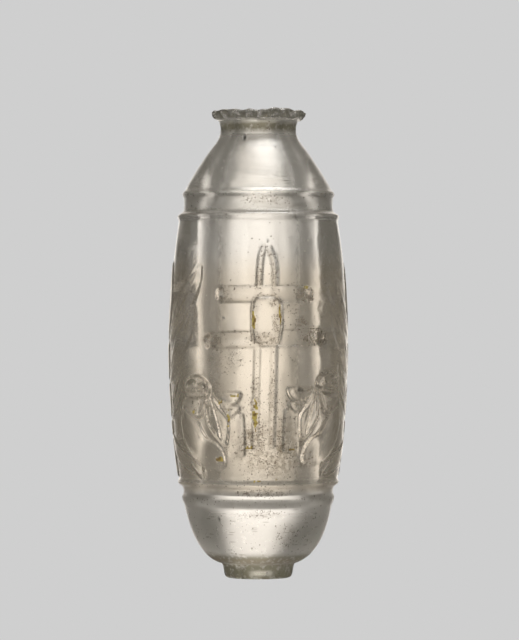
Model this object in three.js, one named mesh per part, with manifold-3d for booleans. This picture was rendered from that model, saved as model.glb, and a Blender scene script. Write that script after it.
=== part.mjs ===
// A flask ground and drilled from one block of rock crystal: a barrel body between two pairs of ridges,
// a rounded bowl on a small disc foot, a sloping shoulder, and a flared lip that has broken away.
// A cross with two arms and a vine leaf on each side of it is cut on the front and the back, and a tall
// plant on each side. Millimetres, +Z up, the origin at the centre of the foot's underside, front to -Y.
import * as THREE from "three";
import { mergeVertices } from "three/addons/utils/BufferGeometryUtils.js";
import Module from "manifold-3d";

const wasm = await Module();
wasm.setup();

// Heights of the zones, from the foot up
const footHeight = 2.8;
const bowlHeight = 12.4;
const lowerBandHeight = 6.2;
const barrelHeight = 54.1;
const upperBandHeight = 7.3;
const shoulderHeight = 12.2;
const lipHeight = 4.9;

// Outer radii
const footRadius = 7.2;
const footEdgeRound = 0.9;
const bowlRadius = 15.75;
const bellyRadius = 18.9;
const barrelEndRadius = 16.9;
const shoulderRadius = 15.3;
const neckRadius = 8.2;
const lipRadius = 9.8;

// The two ridges of each band, with a cove between them
const innerRidgeRadius = 17.2;
const outerRidgeRadius = 16.2;
const coveRadius = 15.85;
const ridgeHalfHeight = 1.0;

// The hollow, drilled through the neck and widened inside the barrel; the bowl under it is solid
const boreRadius = 8.3;
const neckBoreRadius = 4.2;
const mouthFlare = 0.7;
const floorThickness = 16.0;
const floorRound = 2.2;
const shoulderWall = 7.2;

// The carving: what stands out of the wall, and what is cut into it
const reliefHeight = 0.6;
const fluteDepth = 0.6;

// The cross: widths and half lengths in millimetres, and heights as shares of the barrel's height
const shaftFluteWidth = 1.7;
const shaftRidgeWidth = 2.0;
const armFluteWidth = 3.4;
const upperArmHalfLength = 10.5;
const lowerArmHalfLength = 13.7;
const bossWidth = 5.6;
const shaftFootShare = 0.05;
const lowerArmShare = 0.535;
const upperArmShare = 0.708;
const shaftTopShare = 0.88;

// The vine leaf on each side of the cross, from its middle
const vineLeafOffset = 11.4;
const vineLeafSize = 7.0;
const vineLeafShare = 0.345;

// The tall plant of each side panel
const plantLeafLength = 16.0;
const plantLeafWidth = 4.4;
const plantFootShare = 0.215;
const plantTopShare = 0.84;

// The broken lip and the worn foot
const lipChipCount = 9;
const lipChipSize = 2.3;
const footChipSize = 1.3;

// Fineness of the faceted surfaces
const wallSegments = 36;
const boreSegments = 24;
const barrelRows = 9;
const rodRowLength = 4.5;

const bowlBase = footHeight;
const lowerBandBase = bowlBase + bowlHeight;
const barrelBase = lowerBandBase + lowerBandHeight;
const barrelTop = barrelBase + barrelHeight;
const shoulderBase = barrelTop + upperBandHeight;
const neckHeight = shoulderBase + shoulderHeight;
const lipTop = neckHeight + lipHeight;

const onBarrel = (share) => barrelBase + barrelHeight * share;
const lowerArmHeight = onBarrel(lowerArmShare);
const upperArmHeight = onBarrel(upperArmShare);
const shaftFoot = onBarrel(shaftFootShare);
const shaftTop = onBarrel(shaftTopShare);
const vineLeafHeight = onBarrel(vineLeafShare);
const plantFoot = onBarrel(plantFootShare);
const plantTop = onBarrel(plantTopShare);

const at = (radius, height) => new THREE.Vector2(radius, height);

// Points along a cubic curve between two profile points, without its first point
function curve(start, control1, control2, end, steps) {
  return new THREE.CubicBezierCurve(start, control1, control2, end).getPoints(steps).slice(1);
}

// Radius of the plain barrel wall, a shallow arc from ridge to ridge
function wallRadius(height) {
  const half = barrelHeight / 2;
  const fromBelly = (height - (barrelBase + half)) / half;
  return bellyRadius - (bellyRadius - barrelEndRadius) * fromBelly * fromBelly;
}

// A rounded ridge of one crest, from its lower edge to its upper edge
function ridge(lowerRadius, crest, upperRadius, middle) {
  const shoulderShare = 0.55;
  const h = ridgeHalfHeight;
  return [
    at(lowerRadius, middle - h),
    at(crest - (crest - lowerRadius) * 0.2, middle - h * shoulderShare),
    at(crest, middle),
    at(crest - (crest - upperRadius) * 0.2, middle + h * shoulderShare),
    at(upperRadius, middle + h),
  ];
}

// A band of two ridges with a cove between them; the lower one or the upper one meets the barrel
function band(base, height, lowerRadius, lowerCrest, upperCrest, upperRadius) {
  const lowerRidge = base + ridgeHalfHeight;
  const upperRidge = base + height - ridgeHalfHeight;
  return [
    ...ridge(lowerRadius, lowerCrest, coveRadius, lowerRidge),
    at(coveRadius, (lowerRidge + upperRidge) / 2),
    ...ridge(coveRadius, upperCrest, upperRadius, upperRidge),
  ];
}

// The outer profile from the centre of the foot's underside to the top of the lip
function outerProfile() {
  const points = [at(0, 0)];
  const round = footEdgeRound;
  points.push(at(footRadius - round, 0));
  points.push(at(footRadius - round * 0.3, round * 0.3));
  points.push(at(footRadius, round));
  points.push(at(footRadius, bowlBase));
  points.push(
    ...curve(
      at(footRadius + (bowlRadius - footRadius) * 0.08, bowlBase),
      at(bowlRadius - (bowlRadius - footRadius) * 0.2, bowlBase + bowlHeight * 0.3),
      at(bowlRadius - (bowlRadius - footRadius) * 0.1, bowlBase + bowlHeight * 0.71),
      at(bowlRadius, lowerBandBase),
      7,
    ),
  );
  points.pop();
  points.push(
    ...band(lowerBandBase, lowerBandHeight, bowlRadius, outerRidgeRadius, innerRidgeRadius, barrelEndRadius),
  );
  for (let i = 1; i < barrelRows; i++) {
    const height = onBarrel(i / barrelRows);
    points.push(at(wallRadius(height), height));
  }
  points.push(
    ...band(barrelTop, upperBandHeight, barrelEndRadius, innerRidgeRadius, outerRidgeRadius, shoulderRadius),
  );
  const slope = shoulderRadius - neckRadius;
  const throatStart = at(neckRadius + slope * 0.24, neckHeight - shoulderHeight * 0.31);
  points.push(
    ...curve(
      at(shoulderRadius, shoulderBase),
      at(shoulderRadius - slope * 0.17, shoulderBase + shoulderHeight * 0.2),
      at(neckRadius + slope * 0.48, neckHeight - shoulderHeight * 0.52),
      throatStart,
      4,
    ),
  );
  const flare = lipRadius - neckRadius;
  points.push(
    ...curve(
      throatStart,
      at(neckRadius + slope * 0.02, neckHeight - shoulderHeight * 0.13),
      at(neckRadius - flare * 0.2, neckHeight + lipHeight * 0.05),
      at(neckRadius + flare * 0.5, neckHeight + lipHeight * 0.35),
      5,
    ),
  );
  points.push(at(lipRadius, neckHeight + lipHeight * 0.72));
  points.push(at(lipRadius, lipTop));
  points.push(at(0, lipTop));
  return points;
}

// The hollow's profile from the centre of its floor up through the neck and past the lip
function boreProfile() {
  const boreShoulder = shoulderBase - shoulderWall;
  const throat = neckHeight - shoulderHeight * 0.2;
  const widening = boreRadius - neckBoreRadius;
  return [
    at(0, floorThickness),
    ...curve(
      at(0, floorThickness),
      at(boreRadius * 0.62, floorThickness),
      at(boreRadius * 0.91, floorThickness + floorRound * 0.35),
      at(boreRadius, floorThickness + floorRound),
      6,
    ),
    at(boreRadius, boreShoulder),
    ...curve(
      at(boreRadius, boreShoulder),
      at(boreRadius - widening * 0.05, boreShoulder + (throat - boreShoulder) * 0.45),
      at(neckBoreRadius + widening * 0.3, throat - (throat - boreShoulder) * 0.18),
      at(neckBoreRadius, throat),
      5,
    ),
    at(neckBoreRadius, neckHeight),
    at(neckBoreRadius + mouthFlare, lipTop),
    at(neckBoreRadius + mouthFlare, lipTop + lipHeight),
    at(0, lipTop + lipHeight),
  ];
}

// Geometry in three.js axes as a solid: vertices merged on their position alone
function solid(geometry) {
  geometry.deleteAttribute("normal");
  geometry.deleteAttribute("uv");
  const merged = mergeVertices(geometry, 1e-4);
  return new wasm.Manifold(
    new wasm.Mesh({
      numProp: 3,
      vertProperties: new Float32Array(merged.attributes.position.array),
      triVerts: new Uint32Array(merged.index.array),
    }),
  );
}

// A profile turned about +Z
function turned(profile, segments) {
  const geometry = new THREE.LatheGeometry(profile, segments);
  geometry.rotateX(Math.PI / 2);
  return solid(geometry);
}

// Bends flat work onto the wall: x runs along the wall, y is height, and z stands out of the wall
function onWall(geometry, panelAngle) {
  const position = geometry.attributes.position;
  for (let i = 0; i < position.count; i++) {
    const angle = panelAngle + position.getX(i) / bellyRadius;
    const height = position.getY(i);
    const radius = wallRadius(height) + position.getZ(i);
    position.setXYZ(i, radius * Math.sin(angle), -radius * Math.cos(angle), height);
  }
  return solid(geometry);
}

// A six-sided rod between two points of a panel, as wide along its length as its outline says. A ridged
// one has upright sides and a ridge along its top, and a flat one has a flat bottom to its groove; bend
// moves its middle to the left of the line between its ends
function rod(from, to, outline, { width, rise, panelAngle, bend = 0, ridged = true }) {
  const [x0, y0] = from;
  const [x1, y1] = to;
  const length = Math.hypot(x1 - x0, y1 - y0);
  const flatShare = Math.sqrt(3) / 2;
  const radius = ridged ? width / 2 / flatShare : width / 2;
  const profile = outline(length, width).map(([along, share]) => at(radius * share, along));
  const geometry = new THREE.LatheGeometry(profile, 6, ridged ? 0 : Math.PI / 6);
  geometry.scale(1, 1, rise / (ridged ? radius : radius * flatShare));
  const position = geometry.attributes.position;
  for (let i = 0; i < position.count; i++) {
    const t = position.getY(i) / length;
    position.setX(i, position.getX(i) - bend * 4 * t * (1 - t));
  }
  geometry.rotateZ(Math.atan2(y1 - y0, x1 - x0) - Math.PI / 2);
  geometry.translate(x0, y0, 0);
  return onWall(geometry, panelAngle);
}

// Outlines of a rod as [distance along it, share of its width]
function roundEnded(length, width) {
  const straight = length - width;
  const rows = Math.max(1, Math.round(straight / rodRowLength));
  const points = [[0, 0], [width * 0.15, 0.7]];
  for (let i = 0; i <= rows; i++) points.push([width / 2 + (straight * i) / rows, 1]);
  points.push([length - width * 0.15, 0.7], [length, 0]);
  return points;
}

function leafLike(length) {
  return [[0, 0], [length * 0.2, 0.75], [length * 0.45, 1], [length * 0.75, 0.66], [length, 0]];
}

// A wheel-cut flute between two points, with round ends
function flute(from, to, width, panelAngle) {
  return rod(from, to, roundEnded, { width, rise: fluteDepth, panelAngle, ridged: false });
}

// A raised leaf
function leaf(from, to, width, panelAngle, bend = 0) {
  return rod(from, to, leafLike, { width, rise: reliefHeight, panelAngle, bend });
}

// The lobes of a vine leaf as angle from straight up towards the cross, length share and width share;
// the back keeps the last three
const vineLobes = [
  [72, 0.84, 0.46],
  [-42, 0.8, 0.5],
  [112, 0.9, 0.4],
  [172, 1.36, 0.5],
  [-118, 0.9, 0.44],
];
const backVineLobes = vineLobes.slice(2);

// A vine leaf, the broad curled frond that rises under it and the straight stalk beside that, all of them
// raised; side is 1 or -1
function vine(side, panelAngle, lobes) {
  const size = vineLeafSize;
  const place = (across, up) => [side * (vineLeafOffset + size * across), vineLeafHeight + size * up];
  const pieces = lobes.map(([angle, length, width]) => {
    const turn = (angle * Math.PI) / 180;
    const from = place(Math.sin(turn) * 0.1, -Math.cos(turn) * 0.1);
    const to = place(-Math.sin(turn) * length, Math.cos(turn) * length);
    return leaf(from, to, size * width, panelAngle);
  });
  pieces.push(leaf(place(0, -2.2), place(0.98, -0.1), size * 0.72, panelAngle, -side * size * 0.3));
  pieces.push(leaf(place(-0.66, -1.86), place(-0.66, -0.3), size * 0.4, panelAngle));
  return pieces;
}

// The pairs of leaves of a side plant, as share of its height up the stem and share of the full leaf
const plantPairs = [
  [0.02, 0.6],
  [0.26, 0.85],
  [0.5, 1.0],
];

// The tall plant of a side panel: a stem with leaves that rise from it in pairs, and one at its top
function sidePlant(panelAngle) {
  const height = plantTop - plantFoot;
  const topLeaf = plantLeafLength * 0.9;
  const pieces = [
    leaf([0, shaftFoot], [0, plantTop - topLeaf * 0.7], plantLeafWidth * 0.5, panelAngle),
    leaf([0, plantTop - topLeaf], [0, plantTop], plantLeafWidth * 1.1, panelAngle),
  ];
  for (const [foot, share] of plantPairs) {
    for (const side of [-1, 1]) {
      const length = plantLeafLength * share;
      const base = plantFoot + height * foot;
      const tip = [side * length * 0.82, Math.min(base + length * 0.9, plantTop)];
      pieces.push(leaf([0, base], tip, plantLeafWidth, panelAngle, -side * plantLeafWidth * 0.4));
    }
  }
  return pieces;
}

// The two-armed cross: two flutes side by side make its shaft and lean together at its top, and one
// flute makes each arm
function crossFlutes(panelAngle) {
  const x = (shaftRidgeWidth + shaftFluteWidth) / 2;
  const lean = shaftTop - shaftFluteWidth * 1.9;
  const arms = [
    [lowerArmHeight, lowerArmHalfLength],
    [upperArmHeight, upperArmHalfLength],
  ];
  const cuts = arms.map(([height, reach]) => {
    return flute([-reach, height], [reach, height], armFluteWidth, panelAngle);
  });
  for (const side of [-1, 1]) {
    cuts.push(flute([side * x, shaftFoot], [side * x, lean], shaftFluteWidth, panelAngle));
    const tip = [side * x * 0.25, shaftTop];
    cuts.push(flute([side * x, lean - shaftFluteWidth * 0.8], tip, shaftFluteWidth, panelAngle));
  }
  return cuts;
}

// The oblong boss that lies over the meeting of the shaft and the arms
function boss(panelAngle) {
  const overArm = armFluteWidth * 0.4;
  const low = [0, lowerArmHeight - overArm];
  const high = [0, upperArmHeight + overArm];
  return rod(low, high, roundEnded, { width: bossWidth, rise: reliefHeight, panelAngle });
}

// A conchoidal chip: a low round scoop
function chip(x, y, z, width, height) {
  const geometry = new THREE.IcosahedronGeometry(1, 1);
  geometry.scale(width, width, height);
  geometry.translate(x, y, z);
  return solid(geometry);
}

// Chips all round the lip, which leave no part of its first edge, and a few under the foot's edge
function chips() {
  const cuts = [];
  for (let i = 0; i < lipChipCount; i++) {
    const angle = (2 * Math.PI * i) / lipChipCount;
    const uneven = Math.sin(i * 2.3) * 0.5 + Math.sin(i * 5.1) * 0.5;
    const size = lipChipSize * (1 + 0.25 * uneven);
    const reach = lipRadius + lipChipSize * 0.55;
    const height = lipTop + lipChipSize * (0.15 + 0.25 * Math.sin(i * 3.7));
    cuts.push(chip(reach * Math.cos(angle), reach * Math.sin(angle), height, size, size * 0.75));
    const inner = (lipRadius + neckBoreRadius) / 2;
    const topHeight = lipTop + lipChipSize * (0.62 + 0.12 * Math.cos(i * 4.1));
    const half = angle + Math.PI / lipChipCount;
    cuts.push(chip(inner * Math.cos(half), inner * Math.sin(half), topHeight, size * 1.25, size * 0.8));
  }
  for (const degrees of [-62, 25, 140]) {
    const angle = (degrees * Math.PI) / 180;
    const reach = footRadius + footChipSize * 0.45;
    cuts.push(chip(reach * Math.cos(angle), reach * Math.sin(angle), 0, footChipSize, footChipSize * 0.7));
  }
  return cuts;
}

const frontAngle = 0;
const backAngle = Math.PI;
const sideAngles = [-Math.PI / 2, Math.PI / 2];

const raisedWork = [
  ...[-1, 1].flatMap((side) => vine(side, frontAngle, vineLobes)),
  ...[-1, 1].flatMap((side) => vine(side, backAngle, backVineLobes)),
  ...sideAngles.flatMap((angle) => sidePlant(angle)),
];
const crossAngles = [frontAngle, backAngle];

let flaskSolid = turned(outerProfile(), wallSegments);
for (const work of raisedWork) flaskSolid = flaskSolid.add(work);
for (const cut of crossAngles.flatMap(crossFlutes)) flaskSolid = flaskSolid.subtract(cut);
for (const angle of crossAngles) flaskSolid = flaskSolid.add(boss(angle));
for (const cut of chips()) flaskSolid = flaskSolid.subtract(cut);
flaskSolid = flaskSolid.subtract(turned(boreProfile(), boreSegments));

// A solid as a named mesh
function meshOf(name, body, material) {
  const made = body.getMesh();
  const positions = new Float32Array(made.numVert * 3);
  for (let i = 0; i < made.numVert; i++) {
    positions.set(made.vertProperties.subarray(i * made.numProp, i * made.numProp + 3), i * 3);
  }
  const geometry = new THREE.BufferGeometry();
  geometry.setAttribute("position", new THREE.BufferAttribute(positions, 3));
  geometry.setIndex(new THREE.BufferAttribute(new Uint32Array(made.triVerts), 1));
  geometry.computeVertexNormals();
  const mesh = new THREE.Mesh(geometry, material);
  mesh.name = name;
  return mesh;
}

const rockCrystal = new THREE.MeshStandardMaterial({
  color: 0xd9d6cf,
  roughness: 0.08,
  metalness: 0,
  transparent: true,
  opacity: 0.55,
});

const flask = new THREE.Group();
flask.add(meshOf("flask", flaskSolid, rockCrystal));

export default flask;
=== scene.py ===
# A rock crystal flask: a barrel body between two pairs of ridges, a solid bowl on a disc foot, a sloping
# shoulder and a broken, flared lip, with a two-armed cross and plants cut round the barrel. The front, with
# the main cross, faces -Y, and the centre of the foot's underside is the origin.
import math

import bpy
import numpy as np
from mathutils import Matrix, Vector, noise


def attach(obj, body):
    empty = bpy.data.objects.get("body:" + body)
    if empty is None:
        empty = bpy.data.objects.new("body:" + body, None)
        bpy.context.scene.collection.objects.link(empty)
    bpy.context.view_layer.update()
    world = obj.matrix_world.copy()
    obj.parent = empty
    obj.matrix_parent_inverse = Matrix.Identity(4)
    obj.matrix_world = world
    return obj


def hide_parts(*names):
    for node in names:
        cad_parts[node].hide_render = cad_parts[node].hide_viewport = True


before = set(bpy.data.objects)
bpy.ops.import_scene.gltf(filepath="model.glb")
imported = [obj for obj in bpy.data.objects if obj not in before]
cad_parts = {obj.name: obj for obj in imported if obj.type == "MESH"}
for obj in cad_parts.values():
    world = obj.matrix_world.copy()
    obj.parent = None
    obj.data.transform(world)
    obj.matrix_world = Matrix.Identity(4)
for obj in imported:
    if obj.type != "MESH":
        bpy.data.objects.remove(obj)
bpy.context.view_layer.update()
mm = 0.001


# The studio: a pale floor and a dark room, with a tall, narrow, leaning panel before and behind the flask,
# brightest at the flask's own level, low wide panels round them and at the sides, a bright ceiling, a dim
# light from below and a soft box at the front left. The crystal bends them into its bright middle and sheen.
camera_turn = math.radians(4.8)
camera_distance = 702 * mm
camera_height = 54.7 * mm
camera_aside = 0.25 * mm
pale_grey = (0.624, 0.624, 0.624)

camera_data = bpy.data.cameras.new("camera")
camera_data.lens = 185.6
camera_data.sensor_width = 36
camera_data.clip_end = 30
camera = bpy.data.objects.new("camera", camera_data)
bpy.context.scene.collection.objects.link(camera)
camera.location = (
    -camera_distance * math.sin(camera_turn) + camera_aside * math.cos(camera_turn),
    -camera_distance * math.cos(camera_turn) - camera_aside * math.sin(camera_turn),
    camera_height,
)
camera.rotation_euler = (math.pi / 2, 0, -camera_turn)
bpy.context.scene.camera = camera
bpy.context.scene.view_settings.view_transform = "Standard"


class Sheet:
    """A node tree that is written a line at a time: each call adds a node, sets its inputs and links it."""

    def __init__(self, tree):
        self.tree = tree
        tree.nodes.clear()

    def add(self, kind, inputs=None, **settings):
        node = self.tree.nodes.new(kind)
        for name, value in settings.items():
            setattr(node, name, value)
        for key, value in (inputs or {}).items():
            if isinstance(value, bpy.types.NodeSocket):
                self.tree.links.new(value, node.inputs[key])
            else:
                node.inputs[key].default_value = value
        return node

    def math(self, operation, *values, clamp=False):
        node = self.add("ShaderNodeMath", dict(enumerate(values)), operation=operation, use_clamp=clamp)
        return node.outputs[0]

    def fade(self, value, low, high, start=0.0, end=1.0):
        inputs = {"Value": value, "From Min": low, "From Max": high, "To Min": start, "To Max": end}
        return self.add("ShaderNodeMapRange", inputs, interpolation_type="SMOOTHSTEP").outputs["Result"]

    def mix(self, share, first, second):
        return self.add("ShaderNodeMix", {0: share, 6: first, 7: second}, data_type="RGBA").outputs[2]


room_dark = (0.094, 0.087, 0.069, 1)
tall_panel_light = (1.36, 1.27, 1.17, 1)
level_panel_light = (1.62, 1.54, 1.43, 1)
wide_panel_light = (1.10, 1.04, 0.97, 1)
side_panel_light = (0.80, 0.77, 0.73, 1)
ceiling_light = (12.0, 11.7, 11.2, 1)
table_light = (0.42, 0.40, 0.37, 1)
panel_lean = math.radians(-8)
side_panel_turn = math.radians(10)

world = bpy.data.worlds.new("studio")
bpy.context.scene.world = world
world.use_nodes = True
sky = Sheet(world.node_tree)
direction = sky.add("ShaderNodeTexCoord").outputs["Generated"]
turned = sky.add(
    "ShaderNodeVectorRotate", {"Vector": direction, "Angle": camera_turn}, rotation_type="Z_AXIS"
)
leaning = sky.add(
    "ShaderNodeVectorRotate", {"Vector": turned.outputs[0], "Angle": panel_lean}, rotation_type="Y_AXIS"
)
parts = sky.add("ShaderNodeSeparateXYZ", {"Vector": leaning.outputs[0]})
x, y, z = parts.outputs[0], parts.outputs[1], parts.outputs[2]
level = sky.math("SQRT", sky.math("ADD", sky.math("MULTIPLY", x, x), sky.math("MULTIPLY", y, y)))
along = sky.math("DIVIDE", sky.math("ABSOLUTE", y), level)
sideways = sky.math("MULTIPLY", sky.math("ABSOLUTE", x), math.cos(side_panel_turn))
forward = sky.math("MULTIPLY", y, math.sin(side_panel_turn))
across = sky.math("DIVIDE", sky.math("SUBTRACT", sideways, forward), level)
tall_rows = sky.math("MULTIPLY", sky.fade(z, -0.42, -0.3), sky.fade(z, 0.9, 0.6))
low_rows = sky.math("MULTIPLY", sky.fade(z, -0.24, -0.14), sky.fade(z, 0.2, 0.1))
tall_panel = sky.math("MULTIPLY", sky.fade(along, 0.905, 1.0), tall_rows)
wide_panel = sky.math("MULTIPLY", sky.fade(along, 0.84, 0.95), low_rows)
level_panel = sky.math("MULTIPLY", sky.fade(along, 0.93, 1.0), low_rows)
side_panel = sky.math("MULTIPLY", sky.fade(across, 0.82, 0.94), low_rows)
ceiling = sky.fade(z, 0.88, 0.985)
below = sky.fade(z, -0.55, -0.8)
colour = sky.mix(below, room_dark, table_light)
colour = sky.mix(side_panel, colour, side_panel_light)
colour = sky.mix(wide_panel, colour, wide_panel_light)
colour = sky.mix(tall_panel, colour, tall_panel_light)
colour = sky.mix(level_panel, colour, level_panel_light)
colour = sky.mix(ceiling, colour, ceiling_light)
seen = sky.add("ShaderNodeLightPath").outputs["Is Camera Ray"]
colour = sky.mix(seen, colour, (*pale_grey, 1))
lit = sky.add("ShaderNodeBackground", {"Color": colour, "Strength": 1.0})
sky.add("ShaderNodeOutputWorld", {"Surface": lit.outputs[0]})

light = bpy.data.lights.new("soft_box", "AREA")
light.shape = "DISK"
light.size = 0.5
light.energy = 1.2
light.color = (1.0, 0.97, 0.92)
soft_box = bpy.data.objects.new("soft_box", light)
soft_box.visible_transmission = False
soft_box.visible_camera = False
bpy.context.scene.collection.objects.link(soft_box)
soft_box_turn, soft_box_rise = math.radians(-33), math.radians(12)
soft_box_distance = 1.0
way = Vector((math.sin(soft_box_turn), -math.cos(soft_box_turn), math.tan(soft_box_rise)))
soft_box.location = way.normalized() * soft_box_distance + Vector((0, 0, 50 * mm))
soft_box.rotation_euler = way.to_track_quat("Z", "Y").to_euler()

bpy.ops.object.select_all(action="DESELECT")
bpy.ops.mesh.primitive_circle_add(vertices=96, radius=4.0, fill_type="NGON", location=(0, 0, 0))
floor = bpy.context.object
floor.name = "floor"
floor.visible_transmission = False
floor.visible_glossy = False
floor_material = bpy.data.materials.new("pale_floor")
floor_material.use_nodes = True
ground = Sheet(floor_material.node_tree)
glow = ground.add("ShaderNodeEmission", {"Color": (*pale_grey, 1), "Strength": 1.0})
ground.add("ShaderNodeOutputMaterial", {"Surface": glow.outputs[0]})
floor.data.materials.append(floor_material)


# The flask's form: ground and drilled from one block of rock crystal, so it is one closed surface, turned
# from a profile that runs from the underside up the outside, over the lip and down the drilled hollow. The
# hollow ends above the bowl, which is solid.
belly = 18.9
barrel_low, barrel_high = 21.7, 75.4
barrel_end = 16.9
foot_ridge, lower_ridge, upper_ridge, shoulder_ridge = 17.2, 20.3, 76.7, 81.4
bore, mouth_bore = 8.3, 4.2
bore_floor = 16.0


def wall_radius(height):
    """Radius of the plain barrel wall at a height, in millimetres."""
    middle = (barrel_low + barrel_high) / 2
    share = (height - middle) / (barrel_high - middle)
    return belly - (belly - barrel_end) * share * share


def bend(start, pull_start, pull_end, end, steps):
    """Points along a cubic curve in the profile, without its first point."""
    made = []
    for i in range(1, steps + 1):
        t = i / steps
        weights = ((1 - t) ** 3, 3 * t * (1 - t) ** 2, 3 * t * t * (1 - t), t**3)
        points = (start, pull_start, pull_end, end)
        made.append(tuple(sum(w * p[k] for w, p in zip(weights, points)) for k in (0, 1)))
    return made


def ridge(middle, crest, below, above, under=1.05, over=1.05, steps=8):
    """A narrow rounded ridge between the radius below it and the one above."""
    made = []
    for i in range(steps + 1):
        t = 2 * i / steps - 1
        side, half = (below, under) if t < 0 else (above, over)
        rise = math.cos(t * math.pi / 2) ** 1.5
        made.append((side + (crest - side) * rise, middle + half * t))
    return made


profile = [(0.0, 0.0), (3.0, 0.0), (6.2, 0.0)]
profile += bend((6.2, 0.0), (6.9, 0.0), (7.25, 0.4), (7.34, 1.5), 6)
profile += bend((7.34, 1.5), (7.4, 2.1), (7.5, 2.7), (7.75, 3.05), 3)
profile += bend((7.75, 3.05), (12.2, 4.2), (14.4, 9.5), (15.5, 14.9), 18)
profile += ridge(foot_ridge, 16.15, 15.5, 15.8, under=2.2, over=0.9)
profile += [(15.8, 18.2), (15.85, 18.8)]
profile += ridge(lower_ridge, 17.05, 16.0, 16.75)

# The barrel's rows of vertices lie closest over the plants and widest above the cross, with a close pair
# along each rim of the cross's arms.
rows_low, rows_middle, rows_top = 68, 56, 9
plant_top, cross_top = 44.0, 70.0
barrel_rows = [barrel_low + (plant_top - barrel_low) * i / rows_low for i in range(rows_low)]
barrel_rows += [plant_top + (cross_top - plant_top) * i / rows_middle for i in range(rows_middle)]
barrel_rows += [cross_top + (barrel_high - cross_top) * i / rows_top for i in range(rows_top + 1)]
for rim in (48.5, 49.2, 52.1, 52.8, 58.3, 61.9):
    barrel_rows = [row for row in barrel_rows if abs(row - rim) > 0.2] + [rim - 0.12, rim + 0.12]
barrel_rows.sort()
profile += [(wall_radius(height), height) for height in barrel_rows]

profile += ridge(upper_ridge, 17.2, 16.85, 15.9)
profile += [(15.75, 78.5), (15.75, 79.4)]
profile += ridge(shoulder_ridge, 16.15, 15.75, 15.4)
profile += bend((15.35, 82.7), (13.6, 85.9), (11.0, 89.9), (9.3, 92.0), 12)
profile += bend((9.3, 92.0), (8.3, 93.3), (7.95, 94.4), (8.05, 95.6), 7)
profile += bend((8.05, 95.6), (8.1, 96.3), (8.35, 96.8), (8.75, 97.4), 5)
profile += bend((8.75, 97.4), (9.1, 97.9), (9.5, 98.5), (9.75, 99.0), 5)
profile += bend((9.75, 99.0), (9.9, 99.6), (9.6, 99.9), (8.6, 99.7), 5)
profile += bend((8.6, 99.7), (7.6, 99.6), (6.4, 99.5), (5.2, 98.6), 5)
profile += bend((5.2, 98.6), (4.6, 97.6), (mouth_bore, 96.0), (mouth_bore, 93.5), 3)
profile += bend((mouth_bore, 93.5), (4.4, 90.0), (7.7, 86.0), (bore, 76.0), 9)
profile += bend((bore, 76.0), (8.5, 62.0), (8.5, 40.0), (bore, 18.2), 6)
profile += bend((bore, 18.2), (7.6, 16.8), (5.2, bore_floor), (0.0, bore_floor), 8)

columns = 360
bpy.ops.object.select_all(action="DESELECT")
shape = bpy.data.meshes.new("carved_flask")
shape.from_pydata(
    [(radius * mm, 0, height * mm) for radius, height in profile],
    [(i, i + 1) for i in range(len(profile) - 1)],
    [],
)
carved_flask = bpy.data.objects.new("carved_flask", shape)
bpy.context.scene.collection.objects.link(carved_flask)
bpy.context.view_layer.objects.active = carved_flask
carved_flask.select_set(True)
bpy.ops.object.mode_set(mode="EDIT")
bpy.ops.mesh.select_all(action="SELECT")
bpy.ops.mesh.spin(steps=columns, angle=2 * math.pi, center=(0, 0, 0), axis=(0, 0, 1))
bpy.ops.mesh.select_all(action="SELECT")
bpy.ops.mesh.remove_doubles(threshold=0.00001)
bpy.ops.mesh.normals_make_consistent(inside=False)
bpy.ops.object.mode_set(mode="OBJECT")

count = len(shape.vertices)
flat = np.empty(count * 3)
shape.vertices.foreach_get("co", flat)
points = flat.reshape(-1, 3) / mm
radius = np.hypot(points[:, 0], points[:, 1])
height = points[:, 2].copy()
turn = np.arctan2(points[:, 0], -points[:, 1])

# The columns of vertices are drawn towards the front, so that the carving there gets more of them.
column_gather = 0.38
turn = turn - column_gather * np.sin(turn)
outside = (radius > 9.4) | (height < 5) | ((height > 91) & (radius > 6.8))
soil_and_shade = np.zeros(count)


def rough(position, size, octaves=3):
    """Even noise about zero, with features as wide as size in millimetres."""
    return noise.fractal(Vector(position) / size, 0.7, 2.1, octaves)


hand_cut = 0.09
for i in np.nonzero(outside & (height > 3.2) & (height < 97))[0]:
    radius[i] += hand_cut * rough((points[i, 0], points[i, 1], points[i, 2] * 0.6), 7.0, 2)


# The carving: flutes and lines cut with a wheel, and leaves left standing. Each shape is drawn on the
# unrolled barrel, by its distance along the wall from its panel's middle and its height, in millimetres.
flute_depth = 0.6
leaf_edge = 0.38


def smooth(value):
    """From none to one as value goes from none to one, easing in and out."""
    value = np.clip(value, 0, 1)
    return value * value * (3 - 2 * value)


def through(points, closed, steps=6):
    """A smooth line through a few points, as many short pieces."""
    pts = np.array(points, float)
    total = len(pts)
    made = []
    spans = total if closed else total - 1
    for i in range(spans):
        if closed:
            a, b, c, d = (pts[(i + k) % total] for k in (-1, 0, 1, 2))
        else:
            b, c = pts[i], pts[i + 1]
            a = pts[i - 1] if i else 2 * b - c
            d = pts[i + 2] if i + 2 < total else 2 * c - b
        curve = 2 * a - 5 * b + 4 * c - d
        sway = 3 * b - a - 3 * c + d
        for k in range(steps):
            t = k / steps
            made.append(0.5 * (2 * b + (c - a) * t + curve * t**2 + sway * t**3))
    if not closed:
        made.append(pts[-1])
    return np.array(made)


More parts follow.
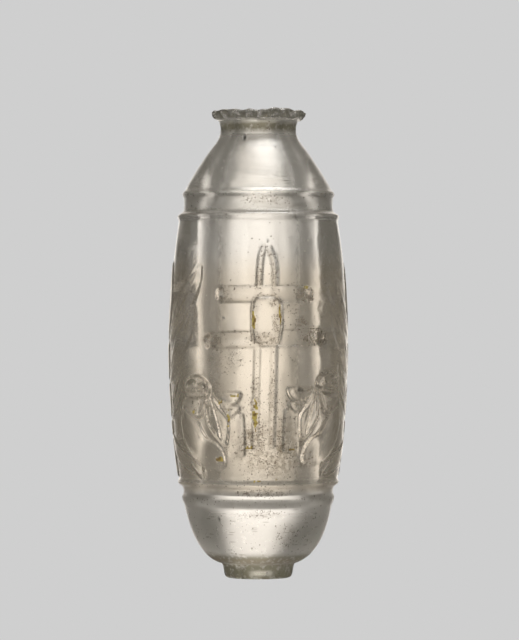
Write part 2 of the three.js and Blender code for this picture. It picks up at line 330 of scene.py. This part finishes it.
class Panel:
    """One side of the barrel: where its vertices lie, and how far the carving has moved them."""

    def __init__(self, middle, half_width):
        offset = (turn - middle + math.pi) % (2 * math.pi) - math.pi
        self.s = offset * belly
        on = (np.abs(self.s) < half_width) & (radius > 12) & (height > barrel_low) & (height < barrel_high)
        self.index = np.nonzero(on)[0]
        self.s = self.s[self.index]
        self.z = height[self.index]
        self.rise = np.zeros(len(self.index))
        self.soil_and_shade = np.zeros(len(self.index))

    def distance(self, line, closed=False):
        """Distance from a line to each vertex, less than zero inside a closed one."""
        near = np.full(len(self.s), 1e9)
        inside = np.zeros(len(self.s), bool)
        ends = np.roll(line, -1, axis=0) if closed else line[1:]
        for (x0, y0), (x1, y1) in zip(line, ends):
            dx, dy = x1 - x0, y1 - y0
            t = np.clip(((self.s - x0) * dx + (self.z - y0) * dy) / max(dx * dx + dy * dy, 1e-9), 0, 1)
            near = np.minimum(near, np.hypot(self.s - x0 - t * dx, self.z - y0 - t * dy))
            if closed:
                crosses = (y0 > self.z) != (y1 > self.z)
                where = x0 + (self.z - y0) * dx / (dy if abs(dy) > 1e-9 else 1e-9)
                inside ^= crosses & (self.s < where)
        return np.where(inside, -near, near)

    def raise_leaf(self, outline, lift, hollow=0.0, dirt=0.5):
        """A leaf left standing, with steep sides; a hollow one is scooped out and keeps a rim."""
        deep = -self.distance(through(outline, True), True)
        rise = lift * smooth((deep + leaf_edge / 2) / leaf_edge) - hollow * smooth((deep - 0.35) / 1.2)
        beside = np.maximum(self.rise * smooth(-deep / leaf_edge), rise)
        self.rise = np.where(deep > -leaf_edge, beside, self.rise)
        rim = smooth(1 - np.abs(deep + leaf_edge / 2) / 0.5)
        self.soil_and_shade = np.maximum(self.soil_and_shade, dirt * np.maximum(rim, 1.2 * hollow * smooth(deep / 0.8)))

    def cut_line(self, route, width=0.5, depth=0.25, dirt=0.8):
        """A fine wheel-cut line, round in section."""
        across = self.distance(through(route, False)) / (width / 2)
        self.rise -= depth * np.clip(1 - across * across, 0, 1)
        self.soil_and_shade = np.maximum(self.soil_and_shade, dirt * smooth(1.3 - across))

    def cut_arm(self, start, end, width):
        """A broad round-ended flute with steep edges and soil along its rims and in its ends; the upper rim
        is darker, as painted shade.
        """
        across = self.distance(np.array([start, end], float)) / (width / 2)
        bed = np.sqrt(np.clip(1 - across**2, 0, 1))
        self.rise = np.where(across < 1, -flute_depth * bed, self.rise)
        # The upper rim gets more of the soil colour: painted shade under the flute's upper lip.
        upper_rim_shade = smooth((self.z - (start[1] + end[1]) / 2) / (width / 2))
        rim = smooth(1 - np.abs(across - 0.95) * (width / 2) / 0.35) * (0.6 + 0.3 * upper_rim_shade)
        run = np.abs(self.s - (start[0] + end[0]) / 2) / (abs(end[0] - start[0]) / 2)
        ends = smooth((run - 0.6) / 0.3)
        self.soil_and_shade = np.maximum(self.soil_and_shade, np.maximum(rim, 0.5 * ends * smooth((1.05 - across) * 4)))

    def cut_groove(self, route, width, depth, dirt=0.55):
        """A narrow groove, shallow and round, with soil in its bed."""
        across = self.distance(np.array(route, float)) / (width / 2)
        bed = np.clip(1 - across**2, 0, 1)
        self.rise = np.where(across < 1, np.minimum(self.rise, -depth * bed**1.3), self.rise)
        self.soil_and_shade = np.maximum(self.soil_and_shade, dirt * smooth(1.35 - across))


arm_width = 3.6
shaft_groove = 1.9


def carve_cross(panel):
    """Two arms of one flute each, a shaft of two grooves that lean together at the top, and a boss."""
    for left, right, left_level, right_level in ((-11.0, 10.7, 60.1, 60.2), (-13.6, 13.8, 50.4, 51.2)):
        panel.cut_arm((left + arm_width / 2, left_level), (right - arm_width / 2, right_level), arm_width)
    panel.cut_groove([(-1.6, 57.0), (-1.3, 65.0), (-1.0, 68.0), (-0.3, 69.8)], shaft_groove, 0.38)
    panel.cut_groove([(1.9, 57.0), (2.1, 65.0), (1.8, 67.6), (0.9, 69.4)], shaft_groove, 0.34)
    panel.cut_groove([(-2.3, 28.6), (-1.7, 52.0)], shaft_groove, 0.25, dirt=0.15)
    panel.cut_groove([(1.4, 28.6), (1.8, 52.0)], shaft_groove, 0.25, dirt=0.15)
    boss = [(-2.7, 51.4), (-2.7, 58.0), (-1.6, 59.6), (1.9, 59.6)]
    boss += [(3.1, 58.0), (3.1, 51.4), (1.9, 49.9), (-1.6, 49.9)]
    inner = -panel.distance(through(boss, True), True)
    standing = smooth(inner / 0.35)
    panel.rise = panel.rise * (1 - standing) + (0.1 + 0.35 * smooth(inner / 2)) * standing
    groove = smooth(1 - np.abs(inner + 0.1) / 0.45)
    panel.rise -= 0.25 * groove
    border = np.maximum(groove, 0.6 * smooth(1.2 - inner / 1.6) * standing)
    panel.soil_and_shade = np.maximum(panel.soil_and_shade * (1 - 0.75 * standing), border)


def carve_vine(panel, side, plain=False):
    """The plant beside the cross's foot: a vine leaf of five lobes, a broad frond under it, and a stalk."""
    shift = (0.6, -0.9) if side < 0 else (0.0, 0.0)

    def placed(route):
        return [(side * (s + shift[0]), z + shift[1]) for s, z in route]

    frond = [(9.1, 25.0), (8.8, 27.6), (10.4, 29.8), (13.2, 31.4), (15.4, 34.6), (17.4, 36.4)]
    frond += [(19.6, 38.2), (21.0, 34.9), (20.6, 31.3), (18.6, 28.0), (14.4, 25.0)]
    panel.raise_leaf(placed(frond), lift=0.38, hollow=-0.1, dirt=0.35)
    stalk = [(4.2, 27.4), (4.0, 27.7), (3.9, 31.5), (4.1, 35.6), (4.5, 36.2), (6.6, 36.2)]
    stalk += [(6.9, 35.6), (7.2, 31.5), (7.5, 27.7), (7.2, 27.3), (5.6, 27.2)]
    panel.raise_leaf(placed(stalk), lift=0.32, hollow=-0.1, dirt=0.35)
    upper_leaf = [(11.0, 40.3), (8.0, 40.6), (4.7, 40.5), (5.2, 38.7), (6.6, 37.9), (8.7, 38.4), (10.4, 39.4)]
    panel.raise_leaf(placed(upper_leaf), lift=0.5, hollow=0.35)
    second_leaf = [(9.4, 37.6), (7.1, 37.7), (4.9, 37.6), (5.5, 36.2), (6.8, 35.3), (8.3, 36.0)]
    panel.raise_leaf(placed(second_leaf), lift=0.35, hollow=0.2)
    lance = [(11.3, 40.3), (9.6, 37.8), (7.7, 35.4), (7.3, 33.0), (7.9, 30.0), (9.4, 30.4)]
    lance += [(11.2, 32.2), (12.6, 34.4), (12.8, 37.6), (12.1, 39.6)]
    panel.raise_leaf(placed(lance), lift=0.6, hollow=0.2)
    curl = [(11.7, 40.9), (12.1, 42.5), (14.2, 43.7), (16.6, 43.8), (18.8, 42.3), (18.2, 40.9), (15.0, 40.5)]
    panel.raise_leaf(placed(curl), lift=0.5, hollow=0.3)
    low_leaf = [(12.2, 40.0), (14.6, 40.2), (17.8, 39.9), (19.0, 38.5), (17.9, 36.8)]
    low_leaf += [(15.1, 35.3), (13.4, 36.4)]
    panel.raise_leaf(placed(low_leaf), lift=0.5, hollow=0.3)
    if plain:
        return
    panel.cut_line(placed([(11.3, 39.8), (10.3, 36.4), (9.4, 33.0), (9.0, 30.8)]), width=0.55, depth=0.35)
    panel.cut_line(placed([(12.1, 39.4), (12.3, 36.6), (11.7, 34.0), (10.4, 31.9)]))
    panel.cut_line(placed([(5.8, 39.9), (8.0, 40.0), (10.2, 40.0)]))
    panel.cut_line(placed([(6.2, 37.1), (8.6, 37.1)]))
    panel.cut_line(placed([(12.6, 39.4), (15.0, 39.1), (17.2, 39.4)]))
    panel.cut_line(placed([(13.2, 42.5), (14.4, 41.9), (13.6, 41.2), (12.6, 41.5)]))
    panel.cut_line(placed([(18.6, 25.2), (15.4, 22.2)]), dirt=0.5)
    panel.cut_line(placed([(14.7, 25.0), (14.6, 22.2)]), width=0.45, depth=0.2, dirt=0.5)


def carve_side_plant(panel):
    """The tall plant of a side panel: a stem, pairs of leaves that curve up from it, and one at its top."""
    stem = [(-0.9, 23.5), (-0.9, 40), (-0.8, 57), (0.8, 57), (0.9, 40), (0.9, 23.5)]
    panel.raise_leaf(stem, lift=0.25, dirt=0.2)
    top_leaf = [(0, 51.5), (-3.0, 57.5), (-2.6, 62.5), (0, 67.0), (2.6, 62.5), (3.0, 57.5)]
    panel.raise_leaf(top_leaf, lift=0.25, dirt=0.2)
    panel.cut_line([(0, 53.5), (0, 64.5)], width=0.6, depth=0.2, dirt=0.3)
    for side in (-1, 1):
        for foot, reach, tall in ((33.5, 10.5, 12.5), (41.5, 13.0, 16.0), (50.0, 14.6, 16.2)):
            leaf = [
                (0.3, foot),
                (reach * 0.5, foot + tall * 0.2),
                (reach * 0.95, foot + tall * 0.62),
                (reach, foot + tall),
                (reach * 0.66, foot + tall * 0.78),
                (reach * 0.32, foot + tall * 0.2 + 3.3),
            ]
            panel.raise_leaf([(side * s, z) for s, z in leaf], lift=0.12, dirt=0.25)
            vein = [(0.6, foot + 0.6), (reach * 0.45, foot + tall * 0.38), (reach * 0.93, foot + tall * 0.9)]
            panel.cut_line([(side * s, z) for s, z in vein], width=0.55, depth=0.1, dirt=0.3)
        low_leaf = [(0.6, 30.5), (6.0, 27.6), (12.6, 25.4), (14.8, 22.4), (8.0, 23.4), (2.0, 26.4)]
        panel.raise_leaf([(side * s, z) for s, z in low_leaf], lift=0.18, dirt=0.25)


for middle, hidden in ((0.0, False), (math.pi, True)):
    main_panel = Panel(middle, half_width=22.0)
    for side in (-1, 1):
        carve_vine(main_panel, side, plain=hidden)
    carve_cross(main_panel)
    radius[main_panel.index] += main_panel.rise
    soil_and_shade[main_panel.index] = np.maximum(soil_and_shade[main_panel.index], main_panel.soil_and_shade)
for middle in (-math.pi / 2, math.pi / 2):
    side_panel = Panel(middle, half_width=16.5)
    carve_side_plant(side_panel)
    radius[side_panel.index] += side_panel.rise
    soil_and_shade[side_panel.index] = np.maximum(soil_and_shade[side_panel.index], side_panel.soil_and_shade)


# The breaks: the lip has broken away all round in small shell-shaped chips, and the foot's edge is worn.
# Broken crystal has lost its polish, so the dull film that the finish shows is thick on both, with small gaps
# in it on the lip where the clear crystal shows as painted glints.
lip_low = 97.0
film_and_shade = np.zeros(count)
broken = ((height > lip_low) & (radius > 4.6)) | ((height < 3.4) & (radius > 6.4) & (radius < 8))
for i in np.nonzero(broken)[0]:
    x = radius[i] * math.sin(turn[i])
    y = -radius[i] * math.cos(turn[i])
    if height[i] > lip_low:
        wear = min(1.0, (height[i] - lip_low) / 1.4)
        scoop = rough((x, y, 3.0), 3.4, 2)
        # Small gaps in the lip's film let the clear crystal show through as painted glints.
        film_and_shade[i] = 0.84 * smooth(4 * wear - 1.2) * smooth(2.2 + 8 * rough((x, y, height[i]), 1.2, 2))
        height[i] += wear * (0.6 * scoop - 0.75)
        radius[i] += wear * 0.5 * rough((x, y, 2 * height[i]), 2.0, 3)
    else:
        film_and_shade[i] = 1.0
        chip = max(0.0, rough((x, y, height[i]), 2.2, 3) - 0.15)
        radius[i] -= 1.1 * chip


# The soil: brown specks lie thick over the lower half of the front and thin elsewhere, soil darkens the
# cuts, the soil colour under the ridges and round the foot's waist is painted shade, and a few hard ochre
# crusts are still fast in the carving. All of it is kept on the flask's own surface, as a share at each
# vertex, and the crusts as faces of their own.
front_half_angle = 1.35
front_s = turn * belly
facing = np.abs(turn) < front_half_angle


def spread(s, z, wide, tall):
    """One where a patch of the front is centred, falling to none at its edge."""
    reach = np.hypot((front_s - s) / wide, (height - z) / tall)
    return smooth(1.6 * (1 - reach)) * facing * outside


# Patches of specks, each with its distance from the front's middle line, its height, its half width, its
# half height and its share, and after them the places between them that are wiped clean.
specks = np.maximum(np.where(outside, 0.02, 0.0), 0.6 * soil_and_shade)
for s, z, wide, tall, share in (
    (0.0, 29.0, 10.0, 9.0, 0.85),
    (0.0, 31.0, 16.0, 13.0, 0.35),
    (-2.3, 37.0, 1.6, 8.0, 0.9),
    (1.6, 37.0, 1.6, 9.0, 0.8),
    (-3.6, 30.2, 3.0, 3.0, 1.3),
    (3.6, 28.2, 2.4, 2.4, 1.3),
    (-12.5, 39.0, 5.5, 5.5, 0.6),
    (-8.5, 46.5, 5.5, 4.0, 0.5),
    (12.5, 38.0, 5.0, 6.5, 0.3),
    (-9.6, 60.1, 2.2, 2.2, 0.6),
    (9.0, 60.0, 3.2, 2.3, 1.0),
    (-11.8, 50.4, 3.4, 2.2, 1.0),
    (11.5, 51.2, 4.5, 2.5, 1.0),
    (-0.5, 50.8, 4.5, 1.9, 1.0),
    (2.6, 54.0, 1.8, 4.0, 0.9),
    (2.2, 58.4, 2.6, 1.6, 0.9),
    (7.6, 54.0, 2.8, 2.0, 0.8),
    (5.5, 57.0, 3.0, 2.0, 0.4),
    (-1.3, 64.0, 1.2, 3.0, 0.8),
    (2.1, 64.0, 1.2, 3.2, 0.8),
    (0.0, 18.7, 10.0, 1.1, 0.9),
    (-1.0, 14.3, 9.0, 0.9, 0.7),
    (0.0, 79.8, 8.0, 1.4, 0.6),
    (6.5, 9.5, 5.0, 4.0, 0.3),
    (2.0, 95.6, 5.0, 1.4, 0.3),
):
    specks = np.maximum(specks, share * spread(s, z, wide, tall))
for s, z, wide, tall, share in (
    (-6.3, 32.0, 2.0, 5.2, 0.85),
    (5.6, 31.0, 1.8, 5.0, 0.8),
    (-0.4, 38.0, 1.0, 9.0, 0.7),
    (-13.0, 30.5, 3.5, 6.0, 0.8),
    (14.0, 30.5, 4.0, 6.5, 0.9),
    (10.0, 36.0, 2.5, 5.0, 0.6),
    (-5.5, 26.0, 3.0, 1.6, 0.6),
):
    specks *= 1 - share * spread(s, z, wide, tall)

# The barrel is tinted warm, and the shoulder and the bowl have turning scratches.
barrel_part = smooth((height - 17) / 3) * smooth((71 - height) / 9) * outside
tint = np.maximum(0.9 * barrel_part, 0.1 * outside)
scratches = np.where(outside & (np.abs(height - 87) < 5.5), 0.13, 0.0)
scratches += np.where(outside & (np.abs(height - 10) < 5.5), 0.15, 0.0)

# Specks catch on the ridges' crests. The soil colour in a band under each crest is painted shade, and so
# is the dark band round the foot's waist; soil also lies over the low front.
for crest in (foot_ridge, lower_ridge, upper_ridge, shoulder_ridge):
    near_crest = smooth(1 - np.abs(height - crest) / 0.9) * outside
    specks = np.maximum(specks, 0.12 * near_crest)
    shade_below_crest = smooth(1 - np.abs(height - crest + 0.9) / 0.5) * outside
    soil_and_shade = np.maximum(soil_and_shade, 0.3 * shade_below_crest)
soil_and_shade = np.maximum(soil_and_shade, 0.9 * smooth(1.3 - np.abs(height - 3.9) / 0.9) * outside)
for s, z, wide, tall, share in (
    (2.0, 28.0, 13.0, 10.0, 0.85),
    (-2.3, 36.0, 1.5, 8.0, 0.6),
    (1.7, 37.0, 1.3, 9.0, 0.5),
    (-2.5, 29.5, 4.0, 2.5, 0.7),
    (4.0, 27.5, 2.5, 2.0, 0.6),
):
    soil_and_shade = np.maximum(soil_and_shade, share * spread(s, z, wide, tall))

# The film is thick round the foot's waist and the neck, thin on the bowl, the lowest ridge and the channel
# between the upper ridges, and gone along a line under the lip and from the front of the foot. Round the
# foot's waist, on the neck under the lip, on the lowest ridge and in the channel it is painted shade, and
# where it is gone the clear crystal shows as a painted highlight under the lip and a painted glint on the
# foot.
for middle, reach, share in ((4.2, 1.6, 1.0), (95.5, 1.4, 1.0), (16.9, 0.8, 0.32), (79.6, 2.4, 0.25)):
    film_and_shade = np.maximum(film_and_shade, share * smooth(1.3 - np.abs(height - middle) / reach) * outside)
film_and_shade = np.maximum(film_and_shade, 0.2 * smooth((15 - height) / 2) * outside)
# A line under the lip and the front of the foot are cleared of film so that they show bright: a painted
# highlight and a painted glint.
film_and_shade *= 1 - smooth(1.4 - np.abs(height - lip_low) / 0.2)
film_and_shade *= 1 - 0.9 * spread(0.2, 1.3, 9.0, 0.8)

# The drilled wall is frosted up to the shoulder, and outside it the turned ends, the lowest ridge and the
# low flanks of the front are.
turned_ends = smooth((21 - height) / 2) + smooth((height - 76) / 2)
frost = np.where(outside, 0.45 * turned_ends, smooth((79 - height) / 4))
frost = np.maximum(frost, 0.9 * smooth(3 - np.abs(height - 17.6) / 1.2) * outside)
low_flank = smooth((np.abs(front_s) - 13) / 4) * smooth((50 - height) / 10) * facing * outside
frost = np.maximum(frost, 0.6 * low_flank)

# Single pits, each with its size, and then single crusts, each with its half width and half height.
pits = np.zeros(count)
for s, z, size in (
    (-7.9, 93.1, 0.7),
    (-6.8, 85.7, 0.3),
    (0.6, 71.0, 0.3),
    (-8.9, 55.1, 0.25),
    (7.1, 40.3, 0.45),
    (7.9, 40.1, 0.35),
    (-13.6, 41.0, 0.35),
    (-20.6, 35.7, 0.35),
    (-12.4, 13.0, 0.35),
    (-3.0, 10.9, 0.25),
):
    reach = np.hypot(front_s - s, height - z) / size
    pits = np.maximum(pits, smooth(1.5 - reach) * facing * outside)
radius -= 0.12 * pits

crust = np.zeros(count)
for s, z, wide, tall in (
    (-10.4, 25.7, 1.2, 0.45),
    (5.9, 27.7, 0.9, 0.4),
    (-8.0, 34.2, 0.3, 2.1),
    (-6.5, 39.0, 1.1, 0.35),
    (-10.0, 37.7, 0.9, 0.5),
    (-17.2, 35.3, 0.7, 0.5),
    (-2.2, 35.0, 0.5, 3.4),
    (-2.1, 21.2, 1.1, 0.3),
    (2.9, 21.5, 0.8, 0.2),
    (-8.6, 61.5, 1.9, 0.2),
    (9.4, 61.4, 0.6, 0.5),
    (3.0, 55.8, 0.4, 2.0),
    (-2.6, 54.8, 0.4, 2.3),
    (10.4, 25.0, 1.5, 0.25),
    (7.5, 37.1, 1.0, 0.2),
    (-3.5, 28.2, 0.9, 0.4),
):
    crust = np.maximum(crust, spread(s, z, wide * 1.4, tall * 1.4))
for i in np.nonzero(crust > 0)[0]:
    grains = rough((front_s[i], height[i], radius[i]), 0.5, 2)
    crust[i] = 1.0 if crust[i] + 1.3 * grains > 0.5 else 0.0
radius += 0.1 * crust

points[:, 0] = radius * np.sin(turn)
points[:, 1] = -radius * np.cos(turn)
points[:, 2] = height
shape.vertices.foreach_set("co", (points * mm).reshape(-1))
for name, values in (
    ("soil_and_shade", soil_and_shade),
    ("tint", tint),
    ("specks", specks),
    ("scratches", scratches),
    ("film_and_shade", film_and_shade),
    ("frost", frost),
    ("pits", pits),
):
    layer = shape.attributes.new(name, "FLOAT", "POINT")
    layer.data.foreach_set("value", values.astype(np.float32))
shape.update()
bpy.ops.object.shade_smooth()


# The finish: clear rock crystal with a worn, satin surface, the same with a duller wall where it is
# drilled, and ochre crust. One group turns the shares at the vertices into soil, specks, film, scratches
# and pits, with the painted shade that the soil and film carry, and both crystal materials use it.
clean_crystal = (0.97, 0.965, 0.95, 1)
tinted_crystal = (0.91, 0.83, 0.71, 1)
scratch_grey = (0.16, 0.14, 0.11, 1)
olive_film_and_shade = (0.15, 0.14, 0.088, 1)
brown_soil_and_shade = (0.17, 0.125, 0.07, 1)
dark_speck = (0.06, 0.038, 0.02, 1)
pit_black = (0.01, 0.008, 0.006, 1)
dark_crust = (0.19, 0.12, 0.04, 1)
mustard_crust = (0.50, 0.40, 0.10, 1)


def weathering_and_shade_group():
    """Everything that lies on or in the worn surface, and the painted shade in the soil and film, as a
    colour, a roughness and a height.
    """
    tree = bpy.data.node_groups.new("weathering_and_shade", "ShaderNodeTree")
    for name, kind in (
        ("Vector", "NodeSocketVector"),
        ("Clean", "NodeSocketColor"),
        ("Soil_and_shade", "NodeSocketColor"),
        ("Polish", "NodeSocketFloat"),
    ):
        tree.interface.new_socket(name, in_out="INPUT", socket_type=kind)
    tree.interface.new_socket("Color", in_out="OUTPUT", socket_type="NodeSocketColor")
    tree.interface.new_socket("Roughness", in_out="OUTPUT", socket_type="NodeSocketFloat")
    tree.interface.new_socket("Height", in_out="OUTPUT", socket_type="NodeSocketFloat")
    dirt = Sheet(tree)
    given = dirt.add("NodeGroupInput").outputs
    cut_soil_and_shade, thick, tinted, scratched, filmed_and_shaded, frosted, pitted = (
        dirt.add("ShaderNodeAttribute", attribute_name=name).outputs["Fac"]
        for name in ("soil_and_shade", "specks", "tint", "scratches", "film_and_shade", "frost", "pits")
    )
    clouds = dirt.add("ShaderNodeTexNoise", {"Vector": given["Vector"], "Scale": 1.1, "Detail": 4.0})
    uneven = dirt.fade(clouds.outputs["Fac"], 0.36, 0.62, 0.35, 1.0)
    wash_and_shade = dirt.math("MULTIPLY", cut_soil_and_shade, dirt.math("MULTIPLY", uneven, 0.8), clamp=True)
    wash_and_shade = dirt.math("MAXIMUM", wash_and_shade, dirt.math("MULTIPLY", thick, dirt.math("MULTIPLY", uneven, 0.7)))
    patchy = dirt.fade(clouds.outputs["Fac"], 0.3, 0.5, 0.6, 1.0)
    film_and_shade_share = dirt.math("MULTIPLY", filmed_and_shaded, patchy, clamp=True)
    gathering = dirt.add("ShaderNodeTexNoise", {"Vector": given["Vector"], "Scale": 0.8, "Detail": 2.0})
    gathered = dirt.math("MULTIPLY", thick, dirt.fade(gathering.outputs["Fac"], 0.4, 0.6, 0.2, 1.3))
    marks = None
    for scale, low, high in ((2.5, 0.22, 0.48), (4.2, 0.22, 0.5)):
        cell = dirt.add("ShaderNodeTexVoronoi", {"Vector": given["Vector"], "Scale": scale})
        drawn = dirt.add("ShaderNodeSeparateColor", {"Color": cell.outputs["Color"]})
        chosen = dirt.math("LESS_THAN", drawn.outputs[0], gathered)
        size = dirt.fade(drawn.outputs[1], 0, 1, low, high)
        dot = dirt.math("LESS_THAN", cell.outputs["Distance"], size)
        mark = dirt.math("MULTIPLY", chosen, dot)
        marks = mark if marks is None else dirt.math("MAXIMUM", marks, mark)
    drawn_out = dirt.add("ShaderNodeMapping", {"Vector": given["Vector"], "Scale": (0.45, 0.45, 3.2)})
    streak = dirt.add("ShaderNodeTexVoronoi", {"Vector": drawn_out.outputs[0], "Scale": 1.0})
    drawn = dirt.add("ShaderNodeSeparateColor", {"Color": streak.outputs["Color"]})
    chosen = dirt.math("LESS_THAN", drawn.outputs[0], scratched)
    scratch = dirt.math("MULTIPLY", chosen, dirt.fade(streak.outputs["Distance"], 0.42, 0.25))
    colour = dirt.mix(tinted, given["Clean"], tinted_crystal)
    colour = dirt.mix(dirt.math("MULTIPLY", scratch, 0.6), colour, scratch_grey)
    colour = dirt.mix(film_and_shade_share, colour, olive_film_and_shade)
    colour = dirt.mix(wash_and_shade, colour, given["Soil_and_shade"])
    colour = dirt.mix(dirt.math("MULTIPLY", marks, 0.9), colour, dark_speck)
    colour = dirt.mix(pitted, colour, pit_black)
    covered = dirt.math("MAXIMUM", dirt.math("MAXIMUM", wash_and_shade, film_and_shade_share), marks)
    rough_share = dirt.math("ADD", given["Polish"], dirt.math("MULTIPLY", covered, 0.3))
    rough_share = dirt.math("ADD", rough_share, dirt.math("MULTIPLY", frosted, 0.2), clamp=True)
    dirt.add("NodeGroupOutput", {"Color": colour, "Roughness": rough_share, "Height": covered})
    return tree


weathering_and_shade = weathering_and_shade_group()


def crystal_finish(name, polish, waviness):
    """Rock crystal as rough as polish where it is clean, with a slightly wavy surface."""
    made = bpy.data.materials.new(name)
    made.use_nodes = True
    gem = Sheet(made.node_tree)
    place = gem.add("ShaderNodeTexCoord").outputs["Object"]
    scaled = gem.add("ShaderNodeMapping", {"Vector": place, "Scale": (1000, 1000, 1000)}).outputs[0]
    weather_and_shade = gem.add(
        "ShaderNodeGroup",
        {"Vector": scaled, "Clean": clean_crystal, "Soil_and_shade": brown_soil_and_shade, "Polish": polish},
        node_tree=weathering_and_shade,
    )
    wavy = gem.add("ShaderNodeTexNoise", {"Vector": scaled, "Scale": 0.45, "Detail": 3.0}).outputs["Fac"]
    drawn_out = gem.add("ShaderNodeMapping", {"Vector": place, "Scale": (120, 120, 1600)}).outputs[0]
    marks = gem.add("ShaderNodeTexNoise", {"Vector": drawn_out, "Scale": 1.0, "Detail": 3.0}).outputs["Fac"]
    surface = gem.math("ADD", wavy, gem.math("MULTIPLY", marks, 0.35))
    surface = gem.math("ADD", surface, gem.math("MULTIPLY", weather_and_shade.outputs["Height"], 0.12))
    bump = gem.add("ShaderNodeBump", {"Strength": waviness, "Distance": 0.0002, "Height": surface})
    body = gem.add(
        "ShaderNodeBsdfPrincipled",
        {
            "Base Color": weather_and_shade.outputs["Color"],
            "Roughness": weather_and_shade.outputs["Roughness"],
            "Normal": bump.outputs[0],
            "Metallic": 0.0,
            "Transmission Weight": 0.95,
            "IOR": 1.55,
        },
    )
    gem.add("ShaderNodeOutputMaterial", {"Surface": body.outputs[0]})
    return made


def crust_finish():
    """Hard ochre crust, from mustard to brown, with a grainy surface."""
    made = bpy.data.materials.new("ochre_crust")
    made.use_nodes = True
    cake = Sheet(made.node_tree)
    place = cake.add("ShaderNodeTexCoord").outputs["Object"]
    scaled = cake.add("ShaderNodeMapping", {"Vector": place, "Scale": (1000, 1000, 1000)}).outputs[0]
    clouds = cake.add("ShaderNodeTexNoise", {"Vector": scaled, "Scale": 1.3, "Detail": 5.0}).outputs["Fac"]
    colour = cake.mix(cake.fade(clouds, 0.4, 0.56), dark_crust, mustard_crust)
    grains = cake.add("ShaderNodeTexNoise", {"Vector": scaled, "Scale": 5.0, "Detail": 2.0}).outputs["Fac"]
    bump = cake.add("ShaderNodeBump", {"Strength": 0.6, "Distance": 0.0001, "Height": grains})
    body = cake.add(
        "ShaderNodeBsdfPrincipled",
        {"Base Color": colour, "Roughness": cake.fade(grains, 0.3, 0.7, 0.6, 0.9), "Normal": bump.outputs[0]},
    )
    cake.add("ShaderNodeOutputMaterial", {"Surface": body.outputs[0]})
    return made


carved_flask.data.materials.append(crystal_finish("worn_crystal", 0.14, 0.3))
carved_flask.data.materials.append(crystal_finish("drilled_crystal", 0.22, 0.3))
carved_flask.data.materials.append(crust_finish())
corners = np.empty(len(shape.loops), np.int32)
shape.loops.foreach_get("vertex_index", corners)
starts = np.empty(len(shape.polygons), np.int32)
shape.polygons.foreach_get("loop_start", starts)
outside_face = np.minimum.reduceat(outside[corners].astype(np.int32), starts)
crust_share = np.add.reduceat(crust[corners], starts) / np.diff(np.append(starts, len(corners)))
finish = np.where(crust_share > 0.6, 2, 1 - outside_face)
shape.polygons.foreach_set("material_index", finish.astype(np.int32))

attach(carved_flask, "root")
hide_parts("flask")
